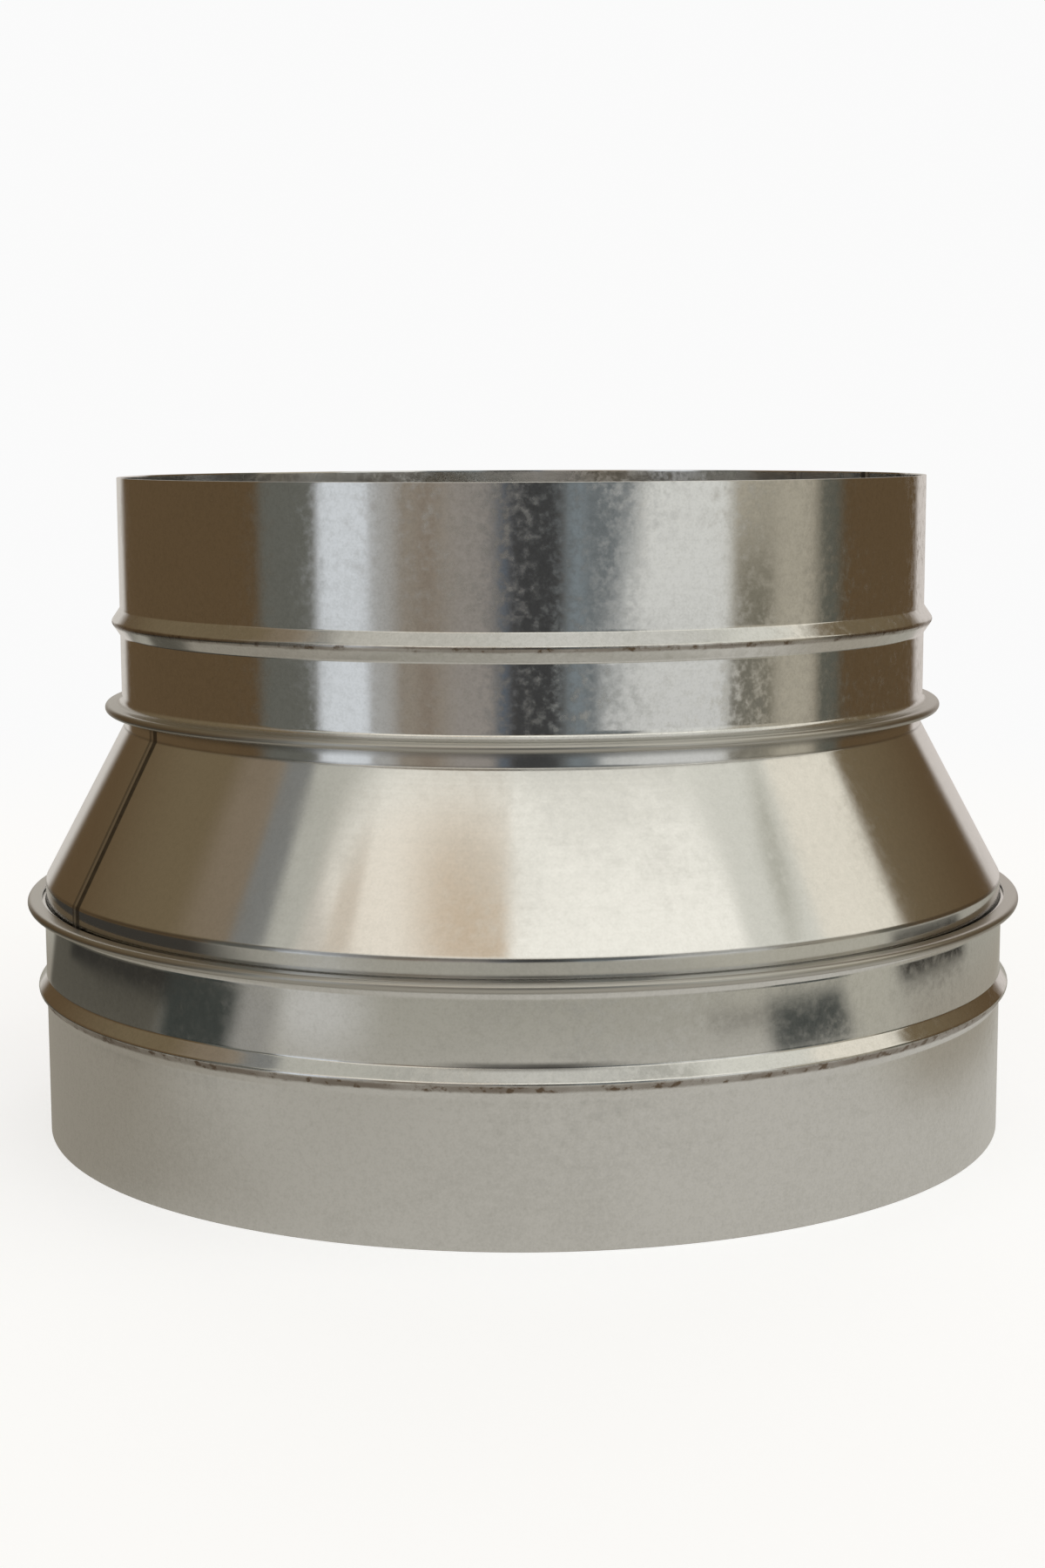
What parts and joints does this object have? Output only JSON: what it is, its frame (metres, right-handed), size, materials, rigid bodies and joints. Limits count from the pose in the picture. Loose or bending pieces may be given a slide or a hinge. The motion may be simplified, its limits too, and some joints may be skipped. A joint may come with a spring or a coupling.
{
  "type": "duct reducer",
  "caption": "Round sheet-steel duct reducer: a short cone between a large and a small beaded spigot, held by folded ring seams.",
  "frame": {"origin": "centre of the large collar's rim, on the plane that the part stands on", "axes": "+Z along the duct's axis, from the large spigot to the small one; the front in the picture is -Y"},
  "size_m": [0.3088, 0.3088, 0.2],
  "materials": {
    "galvanised_sheet": "bright zinc with a fine spangle, satin in places"
  },
  "bodies": {
    "root": {"large_collar": "galvanised_sheet", "cone": "galvanised_sheet", "small_collar": "galvanised_sheet"}
  },
  "joints": []
}
